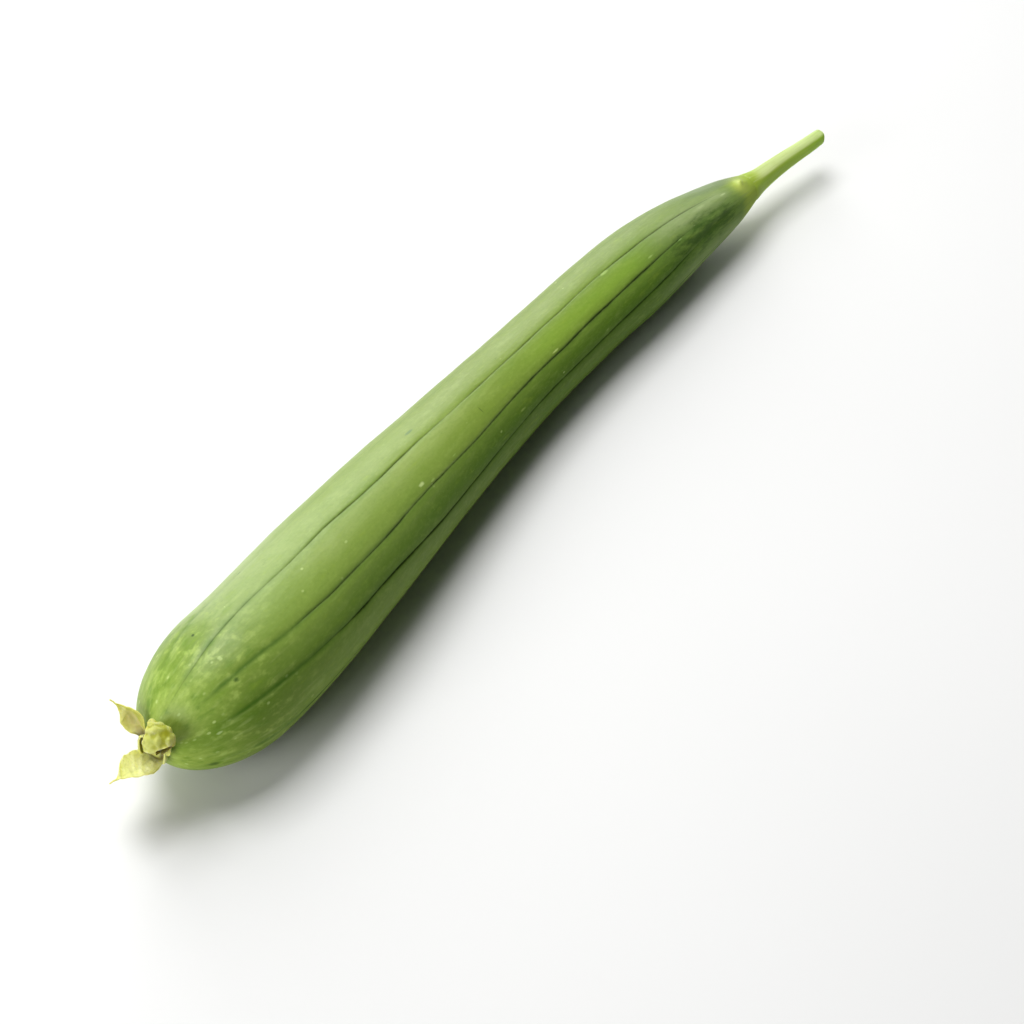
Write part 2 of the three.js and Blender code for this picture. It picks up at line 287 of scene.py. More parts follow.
def ripple(u, turn, height, count, lengths, turns, seed):
    """Mean of sine waves over length u and angle turn, times height: each has a random
    wavelength between lengths, a whole random number of waves up to turns, and a phase."""
    rng = np.random.default_rng(seed)
    total = np.zeros(np.broadcast(u, turn).shape)
    for _ in range(count):
        wave = 2 * np.pi / rng.uniform(*lengths)
        total += np.sin(wave * u + rng.integers(-turns, turns + 1) * turn + rng.uniform(0, 7))
    return height * (total / count)


def kinked(u, furrow, spacing, height, first_seed):
    """Random values up to height at random places about one spacing apart along u, joined
    by straight lines, so that the run has small kinks. Each furrow has its own."""
    rng = np.random.default_rng(first_seed + furrow)
    places = np.cumsum(rng.uniform(0.4, 1.6, int(1.6 * FRUIT_LENGTH / spacing)) * spacing)
    return height * np.interp(u, places - spacing, rng.uniform(-1, 1, len(places)))


def closed_grid(name, points, material, slot, node, **layers):
    """Mesh of rings (rings, columns, 3) in mm, its last column joined to its first and each
    end closed by a fan round the end ring's middle. Layers are values for each point."""
    rings, columns, _ = points.shape
    ends = points[[0, -1]].mean(axis=1)
    co = np.concatenate([points.reshape(-1, 3), ends]) + PLACE_MM
    here = np.arange(rings * columns).reshape(rings, columns)
    beside = np.roll(here, -1, axis=1)
    quads = np.stack([here[:-1], beside[:-1], beside[1:], here[1:]], axis=-1).reshape(-1, 4)
    first, last = np.full(columns, len(co) - 2), np.full(columns, len(co) - 1)
    fans = np.concatenate(
        [
            np.stack([first, beside[0], here[0]], axis=-1),
            np.stack([last, here[-1], beside[-1]], axis=-1),
        ]
    )
    mesh = bpy.data.meshes.new(name)
    mesh.from_pydata(co * MM, [], quads.tolist() + fans.tolist())
    for key, values in layers.items():
        values = np.broadcast_to(values, (rings, columns) + np.shape(values)[2:])
        width = 1 if values.ndim == 2 else 3
        flat = values.reshape(rings * columns, width)
        flat = np.concatenate([flat, values[[0, -1]].reshape(2, columns, width).mean(axis=1)])
        kind = "FLOAT" if width == 1 else "FLOAT_VECTOR"
        stored = mesh.attributes.new(key, kind, "POINT")
        stored.data.foreach_set("value" if width == 1 else "vector", flat.ravel())
    mesh.shade_smooth()
    mesh.materials.append(material)
    piece = bpy.data.objects.new(name, mesh)
    bpy.context.scene.collection.objects.link(piece)
    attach(piece, "root")
    if node:
        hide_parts(node)


def linear(code):
    """Linear colour of an sRGB hex code."""
    srgb = np.array([int(code[i : i + 2], 16) for i in (0, 2, 4)]) / 255
    rgb = np.where(srgb <= 0.04045, srgb / 12.92, ((srgb + 0.055) / 1.055) ** 2.4)
    return (*rgb, 1.0)


def new_material(name):
    """Material with its node tree and its shader."""
    material = bpy.data.materials.new(name)
    material.use_nodes = True
    return material, material.node_tree, material.node_tree.nodes["Principled BSDF"]


def give(tree, node, inputs):
    """Inputs of a node given a value, or linked where the value comes from a node."""
    for key, value in inputs.items():
        if isinstance(value, bpy.types.NodeSocket):
            tree.links.new(value, node.inputs[key])
        else:
            node.inputs[key].default_value = value


def add(tree, kind, inputs=None, **settings):
    """Node of a kind with its settings made and its inputs given."""
    node = tree.nodes.new(kind)
    for key, value in settings.items():
        setattr(node, key, value)
    give(tree, node, inputs or {})
    return node


def gradient(tree, factor, stops):
    """Colour ramp output over factor, with its stops as (position, hex colour)."""
    ramp = add(tree, "ShaderNodeValToRGB", {"Fac": factor})
    elements = ramp.color_ramp.elements
    while len(elements) < len(stops):
        elements.new(0.5)
    for element, (position, code) in zip(elements, stops):
        element.position = position
        element.color = linear(code)
    return ramp.outputs["Color"]


def blend(tree, factor, under, code):
    """A hex colour laid over another colour by a factor."""
    node = add(tree, "ShaderNodeMix", {0: factor, 6: under, 7: linear(code)}, data_type="RGBA")
    return node.outputs[2]


def window(tree, value, low, high, to_low=0.0, to_high=1.0):
    """Value carried from low..high to to_low..to_high, smoothly and held at the ends."""
    return add(
        tree,
        "ShaderNodeMapRange",
        {0: value, 1: low, 2: high, 3: to_low, 4: to_high},
        interpolation_type="SMOOTHSTEP",
    ).outputs[0]


def two_tone(tree, noise, colour, dark, pale):
    """A colour that is darker where the noise is high and paler where it is low. Dark and
    pale give the noise where each begins and is full, its strength and its hex colour."""
    for start, full, strength, code in (dark, pale):
        colour = blend(tree, window(tree, noise, start, full, 0, strength), colour, code)
    return colour


def combine(tree, one, other, operation="MULTIPLY"):
    """Two values multiplied, or put together by another operation."""
    return add(tree, "ShaderNodeMath", {0: one, 1: other}, operation=operation).outputs[0]


def layer(tree, name, output="Fac"):
    """A value or vector that the mesh carries at each point."""
    return add(tree, "ShaderNodeAttribute", attribute_name=name).outputs[output]


def stretched(tree, vector, size_mm, centre_mm=(0, 0, 0)):
    """Coordinates in which size_mm along the three axes measures 1, from centre_mm."""
    scale = np.array([1 / (size * MM) for size in size_mm])
    return add(
        tree,
        "ShaderNodeMapping",
        {"Vector": vector, "Location": -np.array(centre_mm) * MM * scale, "Scale": scale},
    ).outputs[0]


def cloud(tree, vector, detail=3.0, roughness=0.5):
    """Noise with cells of the size that stretched() gave, from 0 to 1."""
    return add(
        tree,
        "ShaderNodeTexNoise",
        {"Vector": vector, "Scale": 1.0, "Detail": detail, "Roughness": roughness},
    ).outputs["Fac"]


def dots(tree, vector, radius, share):
    """Soft round dots, one at most in a cell of the size that stretched() gave, in a share
    of the cells. Each has a strength of its own from 0 to 1."""
    cells = add(tree, "ShaderNodeTexVoronoi", {"Vector": vector, "Scale": 1.0})
    draw = add(tree, "ShaderNodeSeparateColor", {0: cells.outputs["Color"]}).outputs
    shape = window(tree, cells.outputs["Distance"], radius, 0.4 * radius)
    chosen = combine(tree, draw[0], share, "LESS_THAN")
    return combine(tree, combine(tree, shape, chosen), draw[1])


def relief_normal(tree, height, strength, depth):
    """Normal of a fine relief, whose highest and lowest places are depth metres apart."""
    inputs = {"Height": height, "Strength": strength, "Distance": depth}
    return add(tree, "ShaderNodeBump", inputs).outputs["Normal"]


# Washes over the green, each with its strength and colour: a fresher green on the rib
# between the two uppermost creases toward the neck, a thin whitish painted sheen on the back
# near the blossom end, and a paler band of painted sheen on the rib beside the uppermost
# crease.
WASHES = [("fresh", 0.32, "96bf36"), ("painted_sheen", 0.22, "dde6c6"), ("painted_sheen_band", 0.15, "d8e2a0")]
PLANT_IOR = 1.45
# Radius in mm of the straight tube that the skin's patterns are laid out on. Then its marks:
# place along, angle, length, width, colour and strength.
ROUND = 22.0
SKIN_MARKS = [
    (146, 12, 3.2, 1.0, "54753b", 0.75),
    (129, -34, 2.2, 0.9, "c9dc8e", 0.85),
    (134, -39, 1.8, 0.5, "a3bd62", 0.7),
    (149, -38, 1.6, 0.4, "9dba5c", 0.7),
    (216, -38, 2.6, 0.6, "c3d67c", 0.8),
    (14, -64, 1.8, 0.7, "c5da93", 0.65),
    (30, 20, 1.0, 0.8, "2f4a1e", 0.9),
    (27, -34, 1.4, 1.0, "3a5a1c", 0.8),
    (11, -110, 2.5, 2.0, "33501c", 0.7),
    (172, -26, 0.35, 2.6, "3f5a1c", 0.6),
    (62, 38, 1.6, 0.7, "5d7a3c", 0.6),
    (90, -20, 1.2, 0.6, "b9cf7e", 0.6),
    (188, -60, 2.4, 0.7, "9ab458", 0.7),
    (240, 26, 1.4, 0.6, "6c8748", 0.5),
    (75, -170, 2.2, 0.9, "c5d68c", 0.8),
    (205, 150, 2.8, 0.8, "56753a", 0.6),
    (262, 96, 1.8, 0.8, "c3d67c", 0.7),
    (120, 80, 2.0, 0.8, "c3d67c", 0.7),
    (323.5, -17, 2.2, 1.3, "b2c48c", 0.7),
    (311, -16, 3.4, 1.5, "aabc82", 0.55),
    (292.6, -39, 1.8, 0.6, "8fb060", 0.7),
    (276, -31, 2.0, 0.7, "a9c76c", 0.8),
    (256.6, -7, 3.0, 1.3, "a3bf62", 0.6),
    (242, -66, 1.2, 0.6, "8aa556", 0.6),
]


def pattern_place(u, turn):
    """Where a point of the skin lies in its patterns, in mm: on a straight tube of radius
    ROUND, which closes over the blossom end by the square root of a quarter ellipse."""
    radius = ROUND * (1 - (1 - np.minimum(u / DOME_LENGTH, 1)) ** 2) ** 0.25
    return np.stack([u + 0 * turn, radius * np.cos(turn), radius * np.sin(turn)], axis=-1)


def waxy_gourd_skin():
    """Living gourd skin: a satin, slightly waxy cuticle over green tissue. It gives broad soft
    highlights, fine lengthwise streaks, pale flecks, and dark lines in the furrows. Painted
    shade deepens its lower side, flank and furrow valleys, and painted sheen pales its back."""
    material, tree, shader = new_material("waxy_gourd_skin")
    straight = layer(tree, "straight", "Vector")
    along = layer(tree, "along")
    blossom_end = window(tree, along, 0.05, 0.2, 1.0, 0.0)
    colour = gradient(
        tree,
        along,
        [
            (0.0, "98ae4c"),
            (0.04, "8aa443"),
            (0.08, "7b943a"),
            (0.14, "819b40"),
            (0.35, "869f44"),
            (0.5, "829b3c"),
            (0.7, "7b9636"),
            (0.8, "769337"),
            (0.9, "6c8b3c"),
            (1.0, "718c42"),
        ],
    )
    # Broad patches, 50 mm long, where the green is a little deeper or yellower.
    patches = cloud(tree, stretched(tree, straight, (50, 16, 16)), detail=2)
    dark, pale = (0.5, 0.75, 0.35, "6a8e2b"), (0.5, 0.25, 0.2, "8dab40")
    colour = two_tone(tree, patches, colour, dark, pale)
    # Painted shade: the side it lies toward is a deeper green from the middle on, and its flank
    # over most of its length. The back is also darker toward the neck.
    lower = layer(tree, "lower")
    painted_low_shade = combine(tree, lower, window(tree, along, 0.06, 0.6, 0.1, 0.5))
    painted_low_shade = combine(tree, painted_low_shade, window(tree, along, 0.83, 0.9, 1, 0.1))
    colour = blend(tree, painted_low_shade, colour, "3b5e0a")
    painted_flank_shade = combine(tree, layer(tree, "painted_flank_shade"), window(tree, along, 0.05, 0.3, 0.2, 0.36))
    colour = blend(tree, painted_flank_shade, colour, "44740a")
    back = combine(tree, layer(tree, "back"), window(tree, along, 0.15, 0.7, 0.08, 0.48))
    colour = blend(tree, back, colour, "6c7932")
    for name, strength, code in WASHES:
        colour = blend(tree, combine(tree, layer(tree, name), strength), colour, code)
    # Soft mottling, cells of 5 by 3 mm, plain near the blossom end and faint beyond.
    mottle = cloud(tree, stretched(tree, straight, (5.5, 3.2, 3.2)), detail=3, roughness=0.6)
    much = window(tree, blossom_end, 0, 1, 0.12, 0.75)
    dark, pale = (0.5, 0.74, much, "5f8423"), (0.5, 0.28, much, "a8c05e")
    colour = two_tone(tree, mottle, colour, dark, pale)
    # Lengthwise streaks, 2 mm wide, which run together at the blossom end.
    streaks = cloud(tree, stretched(tree, straight, (14, 2, 2)), detail=2)
    much = window(tree, blossom_end, 0, 1, 0.08, 0.34)
    much = combine(tree, much, window(tree, along, 0.0, 0.06, 0.3, 1))
    dark, pale = (0.52, 0.75, much, "5c8022"), (0.48, 0.25, much, "b4c876")
    colour = two_tone(tree, streaks, colour, dark, pale)
    # Fine grain of the cuticle, cells of 1 mm.
    grain = cloud(tree, stretched(tree, straight, (1.5, 0.9, 0.9)), detail=2)
    dark, pale = (0.5, 0.8, 0.16, "587d22"), (0.5, 0.2, 0.14, "a9c660")
    colour = two_tone(tree, grain, colour, dark, pale)
    # The shoulder: bleached greyish on its upper side, and on the rib below that clouded
    # with dark green in ragged cells of 4 mm.
    bleached = combine(tree, layer(tree, "bleached"), window(tree, mottle, 0.2, 0.7, 0.5, 0.9))
    colour = blend(tree, bleached, colour, "a0b07a")
    colour = blend(tree, combine(tree, layer(tree, "dusky"), 0.45), colour, "72836a")
    shade = cloud(tree, stretched(tree, straight, (7, 3.5, 3.5)), detail=4, roughness=0.7)
    shade = combine(tree, combine(tree, shade, 2.4), layer(tree, "clouded"), "ADD")
    shade = window(tree, shade, 1.5, 2.4, 0, 0.7)
    colour = blend(tree, shade, colour, "28480f")
    # Pale corky flecks, about 1 mm wide, many near the blossom end and few beyond.
    share = window(tree, blossom_end, 0, 1, 0.02, 0.5)
    flecks = dots(tree, stretched(tree, straight, (3.4, 2.4, 2.4)), 0.26, share)
    colour = blend(tree, combine(tree, flecks, 0.7), colour, "c3d985")
    # Dark pin specks and rubs, few and small.
    specks = dots(tree, stretched(tree, straight, (24, 14, 14)), 0.05, 0.3)
    colour = blend(tree, combine(tree, specks, 0.7), colour, "33501f")
    # Yellow-green collar where the stem grows out, with a ragged border.
    ragged = combine(tree, layer(tree, "collar"), combine(tree, mottle, streaks, "ADD"), "ADD")
    colour = blend(tree, window(tree, ragged, 1.05, 1.95, 0, 1), colour, "9cb440")
    colour = blend(tree, layer(tree, "knob"), colour, "bccd60")
    # Furrows: painted shade in a soft darker valley, and a thin, nearly black-green crease in
    # its middle.
    valley = combine(tree, layer(tree, "valley"), window(tree, mottle, 0.2, 0.8, 0.7, 1.0))
    colour = blend(tree, valley, colour, "42681a")
    crease = combine(tree, layer(tree, "crease"), window(tree, grain, 0.25, 0.6, 0.8, 1.0))
    colour = blend(tree, crease, colour, "1f2d0c")
    for place, angle, length, width, code, strength in SKIN_MARKS:
        centre = pattern_place(place, np.radians(angle))
        near = stretched(tree, straight, (length, width, width), centre)
        far = add(tree, "ShaderNodeVectorMath", {0: near}, operation="LENGTH").outputs["Value"]
        far = combine(tree, far, combine(tree, grain, 0.6), "ADD")
        colour = blend(tree, window(tree, far, 1.2, 0.6, 0, strength), colour, code)
    # The wax is duller in the creases, and shines less on the side it lies toward.
    dull = combine(tree, crease, 0.4)
    shaded = window(tree, lower, 0, 0.7, 1, 0.15)
    relief = cloud(tree, stretched(tree, straight, (7, 1.8, 1.8)), detail=4, roughness=0.55)
    inputs = {
        "Base Color": colour,
        "Roughness": combine(tree, window(tree, mottle, 0.2, 0.8, 0.4, 0.46), dull, "ADD"),
        "Specular IOR Level": combine(tree, window(tree, crease, 0, 0.8, 0.45, 0.1), shaded),
        "IOR": PLANT_IOR,
        "Subsurface Weight": 0.05,
        "Subsurface Radius": (0.5, 1.0, 0.2),
        "Subsurface Scale": 0.002,
        "Normal": relief_normal(tree, relief, 0.2, 0.0006),
    }
    give(tree, shader, inputs)
    return material


def fruit_rings():
    """Distances along the fruit: even steps of turn over the dome, even steps along the
    body, and finer ones over the shoulder."""
    turn = np.linspace(np.arcsin(CALYX_SEAT_RADIUS / BELLY_RADIUS), np.pi / 2, DOME_RINGS)
    dome = DOME_LENGTH * (1 - np.cos(turn))
    body = np.linspace(DOME_LENGTH, FINE_RINGS_FROM, BODY_RINGS)[1:]
    fine = np.linspace(FINE_RINGS_FROM, FRUIT_LENGTH - LAST_STEP, FINE_RINGS)[1:]
    return np.concatenate([dome, body, fine, [FRUIT_LENGTH]])


def crease_runs(u):
    """Angle and darkness of each furrow at u. The creases on top stray and darken as
    given. The others wander by a third of a millimetre, start late, fade out early and
    are broken in places. All have small kinks."""
    angles = through(FURROWS.T, u)[0]
    darkness = np.empty_like(angles)
    top = len(TOP_CREASE_STRAY)
    places = np.arange(TOP_CREASE_STRAY.shape[1]) * STRAY_STEP
    wander_in = np.degrees(smoother(u, *WANDER_IN) / fruit_radius(u))
    for k in range(len(FURROWS)):
        angles[:, k] += kinked(u, k, *KINKS) * wander_in
        faint = kinked(u, k, *SHORT_FAINT)
        if k < top:
            angles[:, k] += np.interp(u, places, TOP_CREASE_STRAY[k])
            run = np.interp(u, places, TOP_CREASE_DARKNESS[k])
            darkness[:, k] = run * np.clip(TOP_CREASE_SHARE + faint, 0, 1)
            continue
        angles[:, k] += kinked(u, k, *WANDER) * wander_in
        start, end = CREASE_FROM[k - top], CREASE_TO[k - top]
        run = between(u, (start, start + CREASE_RISE), (end, end + CREASE_FADE))
        breaks = CREASE_SHARE + kinked(u, k, *LONG_FAINT) + faint
        darkness[:, k] = CREASE_DARKNESS[k - top] * run * np.clip(breaks, 0, 1)
    angles = np.radians(np.column_stack([angles, angles[:, 0] - 360]))
    return angles, np.column_stack([darkness, darkness[:, 0]])


def painted_furrow_shade(u, gap, above):
    """How dark the painted shade in a furrow's valley is at a gap from its middle: a bell that
    is plain and narrow near the blossom end, half as dark and wider beyond, and above the
    crease fainter still toward the neck."""
    length = between(u, SHADE_IN, SHADE_OUT) * (1 - 0.5 * smoother(u, *SHADE_FAINTER))
    length = length * (1 - 0.7 * above * smoother(u, *SHADE_FAINTER_ABOVE))
    return length * bell(gap, 0, SHADE_WIDTH + SHADE_WIDENING * smoother(u, *SHADE_WIDER))


def skin_patches(place, turn, off):
    """How strongly each change of the skin's colour shows, at a place along and a turn: a
    bell round a side or a smooth step across it, times a smooth rise and fall along the
    fruit. off is the way round from the knob in mm."""
    side = np.degrees(np.arctan2(np.sin(turn), np.cos(turn)))
    border = side + ripple(place, turn, *SHEEN_BAND_BORDER)
    sheen_band_rise, sheen_band_fall = SHEEN_BAND_SIDES
    upper, low = BLEACHED_SIDES
    shoulder = smoother(place, *SHOULDER_IN) * (1 - 0.9 * smoother(place, *SHOULDER_OUT))
    collar_lean = COLLAR_LEAN * (1 + cosine_from(turn, COLLAR_MIDDLE))
    knob_along, knob_round = KNOB_COLOUR_OFF
    knob_far = np.hypot(place - KNOB_PLACE - knob_along, off - knob_round)
    return {
        # The lower side and the flank carry painted shade, a deeper green.
        "lower": 1 - smoother(cosine_from(turn, LOWER_MIDDLE), -0.1, 0.5),
        "painted_flank_shade": bell(side, *FLANK_SIDE) * (1 - smoother(place, *FLANK_OUT)),
        "back": smoother(cosine_from(turn, BACK_MIDDLE), 0.4, 0.95),
        # The bloom and the band under the top crease carry painted sheen, a whitish wash.
        "painted_sheen": bell(side, *PAINTED_SHEEN_SIDE) * between(place, PAINTED_SHEEN_IN, PAINTED_SHEEN_OUT),
        "fresh": bell(side, *FRESH_SIDE) * between(place, FRESH_IN, FRESH_OUT),
        "painted_sheen_band": smoother(border, *sheen_band_rise)
        * (1 - smoother(side, *sheen_band_fall))
        * between(place, SHEEN_BAND_IN, SHEEN_BAND_OUT),
        "bleached": shoulder * (bell(side, *upper) + 0.6 * bell(side, *low)),
        "dusky": smoother(place, *DUSKY_IN) * between(side, *DUSKY_SIDES),
        "clouded": shoulder * bell(side, *CLOUDED_SIDE),
        "collar": smoother(place - collar_lean, *COLLAR_IN),
        "knob": bell(knob_far, 0, KNOB_COLOUR_SPREAD),
    }


def build_fruit():
    """Rings round the spine. Each rib is a flat side between two furrows, and each furrow
    is a bell-shaped valley with a narrow bell-shaped crease in it, whose upper edge is a
    low lip. Nothing lies below 0."""
    u = fruit_rings()
    radius = fruit_radius(u)
    near = np.where(u < DOME_LENGTH, bell(radius, 0, DIMPLE_RADIUS), 0)
    point, _, aside, up = path_frame(SPINE, u + DIMPLE_DEPTH * near)
    angles, darkness = crease_runs(u)
    even = np.arange(RIB_COLUMNS) / RIB_COLUMNS
    share = even - CROWDING * np.sin(2 * np.pi * even) / (2 * np.pi)
    start, end = angles[:, :-1, None], angles[:, 1:, None]
    turn = (start + (end - start) * share).reshape(len(u), -1)
    span = np.repeat(np.abs(end - start)[:, :, 0], RIB_COLUMNS, axis=1)
    share = np.tile(share, len(FURROWS))
    gap = np.minimum(share, 1 - share) * span * radius[:, None]
    dark = np.where(
        share < 0.5,
        np.repeat(darkness[:, :-1], RIB_COLUMNS, axis=1),
        np.repeat(darkness[:, 1:], RIB_COLUMNS, axis=1),
    )
    shade = np.where(
        share < 0.5,
        np.repeat(PAINTED_VALLEY_SHADE, RIB_COLUMNS),
        np.repeat(np.roll(PAINTED_VALLEY_SHADE, -1), RIB_COLUMNS),
    )
    flatness = FLATNESS + FLATNESS_GAIN * smoother(u, *FLATNESS_RANGE)
    section = flat_side(2 * share - 1, span / 2, flatness[:, None])
    depth = between(u, FURROW_FADE_IN, FURROW_FADE_OUT)
    groove = VALLEY_DEPTH * bell(gap, 0, VALLEY_WIDTH)
    groove = groove + CREASE_DEPTH * dark * bell(gap, 0, CREASE_WIDTH)
    groove = groove - LIP_HEIGHT * dark * bell(gap, *LIP_PLACE) * (share > 0.5)
    swell = sum(ripple(u[:, None], turn, *waves) for waves in SWELLS)
    swell = swell * between(u, SWELL_IN, SWELL_OUT)[:, None]
    off = turn - np.radians(KNOB_ANGLE)
    off = radius[:, None] * np.arctan2(np.sin(off), np.cos(off))
    knob = bell(np.hypot(u[:, None] - KNOB_PLACE, off), 0, KNOB_SPREAD)
    knob = knob * (1 + ripple(u[:, None], turn, *KNOB_LUMPS))
    body = radius[:, None] * section - depth[:, None] * groove + swell + KNOB_HEIGHT * knob
    points = (
        point[:, None]
        + (body * np.cos(turn))[..., None] * up[:, None]
        + (body * np.sin(turn))[..., None] * aside[:, None]
    )
    points[..., 2] = np.maximum(points[..., 2], 0)
    lengthwise = np.broadcast_to(u[:, None], turn.shape)
    closed_grid(
        "fruit_skin",
        points,
        waxy_gourd_skin(),
        "green_skin",
        "fruit",
        straight=pattern_place(lengthwise, turn) * MM,
        along=lengthwise / FRUIT_LENGTH,
        crease=dark * bell(gap, 0, LINE_WIDTH + LINE_WIDENING * dark**2),
        valley=shade * painted_furrow_shade(lengthwise, gap, share > 0.5),
        **skin_patches(lengthwise, turn, off),
    )


build_fruit()

# The stem: the gourd's stalk, pale yellow-green and smooth, with five blunt corners. It is
# widest where it grows out of the fruit and is cut off a little askew. Points along its
# middle at even steps, and the radius of its corners there.
STEM_PATH = np.array(
    [
        [340.3, 10.3, 15.8],
        [346, 9.7, 15.85],
        [352, 9.15, 15.95],
        [359, 8.35, 16.05],
        [366, 7.3, 16.15],
        [373, 6.25, 16.25],
        [380, 5.35, 16.35],
    ]
)
STEM_RADII = np.array([5.5, 4.75, 4.25, 3.85, 3.55, 3.35, 3.05])[:, None]
STEM_CORNERS = 5
STEM_CORNER_ANGLE = -38
STEM_FLATNESS = 0.55
# Shares of the way along, over which the corners form.
STEM_CORNERS_FORM = (-0.02, 0.2)
CORNER_ROUNDING = 0.035
CORNER_WIDTH = 0.11
ROOT_FLARE = 0.15
ROOT_FLARE_LENGTH = 2
STEM_LUMPS = (0.06, 8, (8, 30), 9, 21)
STEM_SUNK = 1.5
STEM_COLUMNS = 80
STEM_RINGS = 104
STEM_PATTERN_RADIUS = 4
# The cut: how askew it is, where the stem begins to turn in over it, the share of the way
# along and of the radius at each ring from there, the rings of its face and its hollow.
CUT_SKEW = 0.3
CUT_FROM = 0.955
CUT_ROUNDING = np.array([[0.975, 0.99], [0.987, 0.965], [0.994, 0.92], [0.998, 0.86], [1, 0.75]])
CUT_FACE_SHARES = (0.85, 0.5, 0.2)
CUT_HOLLOW = 0.12
# Middle of its greener underside and of its paler top side, in degrees from the top. Both
# are painted light: a more saturated green below, and a pale painted sheen on top.
STEM_PAINTED_UNDERSIDE = -92
STEM_SHEEN_SIDE = -2


def fresh_stalk():
    """Fresh plant stalk: a thin satin skin over juicy pale tissue. It looks pale yellow green,
    with fine lengthwise streaks, and the cut end is more green. Its pale top is a painted sheen,
    its greener underside is painted light, and the cut end is brightened as painted light."""
    material, tree, shader = new_material("fresh_stalk")
    straight = layer(tree, "straight", "Vector")
    colour = gradient(
        tree,
        layer(tree, "reach"),
        [(0.0, "9cb440"), (0.14, "acc24e"), (0.45, "aec650"), (0.8, "abca4a"), (1.0, "a6d63c")],
    )
    # Painted sheen: a pale wash over the top side.
    colour = blend(tree, combine(tree, layer(tree, "bleached"), 0.75), colour, "c0ce90")
    streaks = cloud(tree, stretched(tree, straight, (16, 0.8, 0.8)), detail=3)
    dark, pale = (0.5, 0.8, 0.45, "93ab48"), (0.5, 0.22, 0.45, "ced99a")
    colour = two_tone(tree, streaks, colour, dark, pale)
    blotches = cloud(tree, stretched(tree, straight, (6, 3, 3)), detail=2)
    colour = blend(tree, window(tree, blotches, 0.55, 0.8, 0, 0.3), colour, "9db24e")
    colour = blend(tree, combine(tree, layer(tree, "ridge"), 0.25), colour, "cfdc8c")
    # Painted light: a more saturated green on the underside.
    colour = blend(tree, combine(tree, layer(tree, "under"), 0.5), colour, "9cc81e")
    # The cut end's fresh green, made bright as painted light where it faces away from the lamps.
    colour = blend(tree, layer(tree, "cut"), colour, "d2f058")
    relief = cloud(tree, stretched(tree, straight, (9, 0.6, 0.6)), detail=2)
    inputs = {
        "Base Color": colour,
        "Roughness": 0.45,
        "Specular IOR Level": 0.3,
        "IOR": PLANT_IOR,
        "Subsurface Weight": 0.1,
        "Subsurface Radius": (0.7, 1.0, 0.3),
        "Subsurface Scale": 0.002,
        "Normal": relief_normal(tree, relief, 0.25, 0.0003),
    }
    give(tree, shader, inputs)
    return material


def build_stem():
    """Five-sided rings with rounded corners along the path, set into the fruit at the
    start. The last ones turn in over the cut, which is skewed by the sixth power of the
    way along and has a hollow face."""
    t = np.concatenate([np.linspace(0, CUT_FROM, STEM_RINGS), CUT_ROUNDING[:, 0]])
    turned_in = np.concatenate([np.ones(STEM_RINGS), CUT_ROUNDING[:, 1]])
    step = t * (len(STEM_PATH) - 1) * STATION
    point, along, aside, up = path_frame(STEM_PATH, step)
    radius = through(STEM_RADII, step)[0][:, 0] * turned_in
    run = np.linalg.norm(point - point[0], axis=1)[:, None]
    column = np.arange(STEM_COLUMNS)
    angle = np.radians(STEM_CORNER_ANGLE) - 2 * np.pi * column / STEM_COLUMNS
    place = (column * STEM_CORNERS / STEM_COLUMNS) % 1
    formed = smoother(t, *STEM_CORNERS_FORM)[:, None]
    side = flat_side(2 * place - 1, np.pi / STEM_CORNERS, STEM_FLATNESS * formed)
    ridge = bell(np.minimum(place, 1 - place), 0, CORNER_WIDTH)
    side = side - CORNER_ROUNDING * ridge * formed
    body = (radius[:, None] + ROOT_FLARE * bell(run, 0, ROOT_FLARE_LENGTH)) * side
    body = body + ripple(run, angle, *STEM_LUMPS)
    askew = CUT_SKEW * t[:, None] ** 6 * body * np.cos(angle)
    points = (
        point[:, None]
        + (body * np.cos(angle))[..., None] * up[:, None]
        + (body * np.sin(angle))[..., None] * aside[:, None]
        + askew[..., None] * along[:, None]
    )
    sunk = points[:1] - STEM_SUNK * along[0]
    rim = points[-1:]
    middle = rim.mean(axis=1, keepdims=True)
    shares = np.array(CUT_FACE_SHARES)[:, None, None]
    face = middle + (rim - middle) * shares - CUT_HOLLOW * along[-1]
    points = np.concatenate([sunk, points, face])
    run = np.concatenate([run[:1], run, np.repeat(run[-1:], len(face), axis=0)])
    reach = np.concatenate([[0], t, np.ones(len(face))])[:, None]
    turn = np.broadcast_to(angle, points.shape[:2])
    lengthwise = np.broadcast_to(run, points.shape[:2])
    tube = STEM_PATTERN_RADIUS * np.stack([np.cos(turn), np.sin(turn)], axis=-1)
    straight = np.concatenate([lengthwise[..., None], tube], axis=-1)
    closed_grid(
        "stem_stalk",
        points,
        fresh_stalk(),
        "stem_skin",
        "stem",
        straight=straight * MM,
        reach=reach,
        ridge=ridge * smoother(reach, 0.05, 0.3) * (reach <= CUT_FROM),
        # Painted light on the underside, and painted sheen on the top side.
        under=smoother(cosine_from(turn, STEM_PAINTED_UNDERSIDE), 0.45, 0.85)
        * smoother(reach, -0.1, 0.15),
        bleached=smoother(cosine_from(turn, STEM_SHEEN_SIDE), 0.68, 0.9)
        * smoother(reach, 0.02, 0.25),
        cut=(np.arange(len(reach)) > len(t) - 3).astype(float)[:, None],
    )


build_stem()

